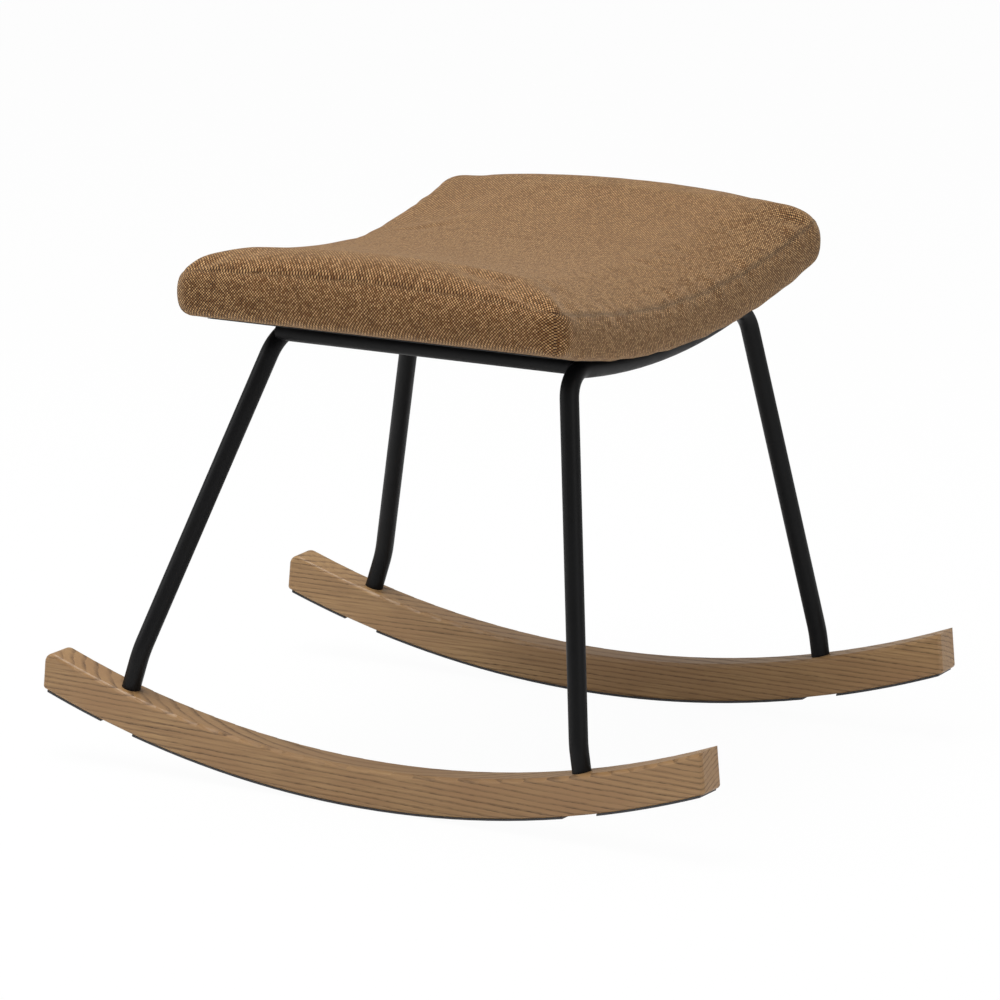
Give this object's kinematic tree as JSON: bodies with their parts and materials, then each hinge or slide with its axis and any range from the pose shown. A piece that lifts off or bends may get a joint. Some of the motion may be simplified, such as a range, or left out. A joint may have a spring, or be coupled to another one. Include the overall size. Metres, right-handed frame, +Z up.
{
  "type": "rocking footstool",
  "caption": "Rocking footstool with a boxed, cradle-shaped fabric cushion on raked bent-tube hoops, standing on curved wooden rockers lined with felt glides.",
  "frame": {"origin": "on the floor, below the middle of the rockers, where they touch it at rest", "axes": "+X along the rockers towards the end with the more upright, wider-set legs; +Y across the stool; +Z up"},
  "size_m": [0.605, 0.4444, 0.4299],
  "materials": {
    "rocker_wood": "satin",
    "felt": "matte",
    "black_powder_coat": "matte",
    "zinc_steel": "satin",
    "cover_fabric": "matte",
    "foam": "matte",
    "plywood": "matte",
    "dust_cloth": "matte"
  },
  "bodies": {
    "root": {"rocker_front": "rocker_wood", "rocker_back": "rocker_wood", "glide_front_left": "felt", "glide_front_middle": "felt", "glide_front_right": "felt", "glide_back_left": "felt", "glide_back_middle": "felt", "glide_back_right": "felt", "hoop_left": "black_powder_coat", "hoop_right": "black_powder_coat", "rail_front": "black_powder_coat", "rail_back": "black_powder_coat", "foot_plugs": "zinc_steel", "foot_bolts": "zinc_steel", "foot_washers": "zinc_steel", "seat_tabs": "black_powder_coat", "seat_screws": "zinc_steel", "seat_inserts": "zinc_steel", "cover_top": "cover_fabric", "cover_front": "cover_fabric", "cover_back": "cover_fabric", "cover_left": "cover_fabric", "cover_right": "cover_fabric", "seat_foam": "foam", "seat_board": "plywood", "dust_cover": "dust_cloth"}
  },
  "joints": []
}
